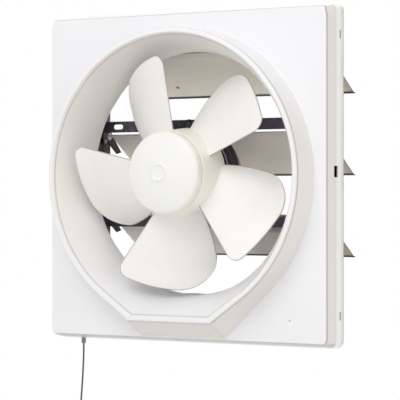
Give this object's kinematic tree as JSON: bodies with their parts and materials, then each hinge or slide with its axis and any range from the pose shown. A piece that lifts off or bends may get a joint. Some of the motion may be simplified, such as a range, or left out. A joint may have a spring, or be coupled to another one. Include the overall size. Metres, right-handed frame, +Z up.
{
  "type": "window exhaust fan",
  "caption": "Square wall or window exhaust fan with a bell-mouth panel, a bladed propeller on a stay-mounted motor, linked rear shutters and a pull cord.",
  "frame": {"origin": "centre of the wall opening, on the wall plane that the rear face of the flange rests on", "axes": "+Y along the fan shaft towards outdoors, +X to the right as seen from the room, +Z up"},
  "size_m": [0.355, 0.1768, 0.508],
  "materials": {
    "body_enamel": "semi-gloss warm white enamel",
    "panel_plastic": "moulded white plastic, semi-gloss",
    "stay_enamel": "dark satin enamel",
    "motor_enamel": "near black satin enamel",
    "core_steel": "laminated steel edges",
    "winding_copper": "varnished copper wire",
    "bright_steel": "zinc plated",
    "blade_plastic": "moulded off-white plastic",
    "spinner_plastic": "moulded white plastic, glossy side",
    "shutter_enamel": "grey-beige satin enamel",
    "link_enamel": "dark satin",
    "black_plastic": "matt",
    "cream_plastic": "semi-gloss",
    "nylon": "natural nylon",
    "guide_plastic": "matt grey",
    "lead_rubber": "matt sheath",
    "cord_fibre": "twisted cord"
  },
  "bodies": {
    "housing": {"body_frame": "body_enamel", "orifice_panel": "panel_plastic", "panel_clip_top_right": "bright_steel", "panel_clip_top_left": "bright_steel", "panel_clip_low_right": "bright_steel", "panel_clip_low_left": "bright_steel", "motor_stay_upper": "stay_enamel", "motor_stay_lower": "stay_enamel", "stay_screw_top_right": "bright_steel", "stay_screw_top_left": "bright_steel", "stay_screw_low_right": "bright_steel", "stay_screw_low_left": "bright_steel", "motor_screw_top_right": "bright_steel", "motor_screw_top_left": "bright_steel", "motor_screw_low_right": "bright_steel", "motor_screw_low_left": "bright_steel", "motor_front_cover": "motor_enamel", "motor_rear_cover": "motor_enamel", "bearing_front": "bright_steel", "bearing_rear": "bright_steel", "stator_core": "core_steel", "winding_front": "winding_copper", "winding_rear": "winding_copper", "shutter_1_pin_left": "nylon", "shutter_1_pin_right": "nylon", "shutter_2_pin_left": "nylon", "shutter_2_pin_right": "nylon", "shutter_3_pin_left": "nylon", "shutter_3_pin_right": "nylon", "switch_box": "black_plastic", "terminal_block": "cream_plastic", "motor_lead": "lead_rubber", "capacitor": "black_plastic", "lever_pin": "bright_steel", "return_spring": "bright_steel", "cord_guide": "guide_plastic"},
    "rotor": {"rotor_core": "core_steel", "motor_shaft": "bright_steel", "drive_pin": "bright_steel", "propeller": "blade_plastic", "spinner_cap": "spinner_plastic"},
    "top_shutter": {"shutter_1": "shutter_enamel"},
    "middle_shutter": {"shutter_2": "shutter_enamel"},
    "low_shutter": {"shutter_3": "shutter_enamel"},
    "link": {"link_bar": "link_enamel", "link_rivet_1": "bright_steel", "link_rivet_2": "bright_steel", "link_rivet_3": "bright_steel"},
    "lever": {"pull_lever": "nylon"},
    "cord": {"cord_upper": "cord_fibre", "cord_drop": "cord_fibre", "cord_hank": "cord_fibre", "cord_tie": "black_plastic", "cord_knob": "cream_plastic"}
  },
  "joints": [
    {"name": "fan_spin", "type": "hinge", "parent": "housing", "child": "rotor", "pos_m": [0, 0, 0.0035], "axis": [0, 1, 0], "continuous": true},
    {"name": "shutter_1_hinge", "type": "hinge", "parent": "housing", "child": "top_shutter", "pos_m": [0, 0.0336, 0.134], "axis": [1, 0, 0], "range_deg": [-55, 0]},
    {"name": "shutter_2_hinge", "type": "hinge", "parent": "housing", "child": "middle_shutter", "pos_m": [0, 0.0336, 0.0458], "axis": [1, 0, 0], "range_deg": [-55, 0]},
    {"name": "shutter_3_hinge", "type": "hinge", "parent": "housing", "child": "low_shutter", "pos_m": [0, 0.0336, -0.0424], "axis": [1, 0, 0], "range_deg": [-55, 0]},
    {"name": "link_pivot", "type": "hinge", "parent": "top_shutter", "child": "link", "pos_m": [-0.1375, 0.02296, 0.12846], "axis": [1, 0, 0], "range_deg": [0, 55]},
    {"name": "pull_cord", "type": "slide", "parent": "housing", "child": "cord", "axis": [0, 0, -1], "range_m": [0, 0.009], "stiffness_N_per_m": 300, "springref_m": -0.0005},
    {"name": "pull_lever_pivot", "type": "hinge", "parent": "housing", "child": "lever", "pos_m": [-0.15932, -0.0065, -0.086], "axis": [0, 1, 0], "range_deg": [0, 34]}
  ],
  "couplings": [
    {"joint": "shutter_2_hinge", "follows": "shutter_1_hinge", "ratio": 1},
    {"joint": "shutter_3_hinge", "follows": "shutter_1_hinge", "ratio": 1},
    {"joint": "link_pivot", "follows": "shutter_1_hinge", "ratio": -1},
    {"joint": "pull_lever_pivot", "follows": "pull_cord", "rad_per_m": 65.5}
  ]
}
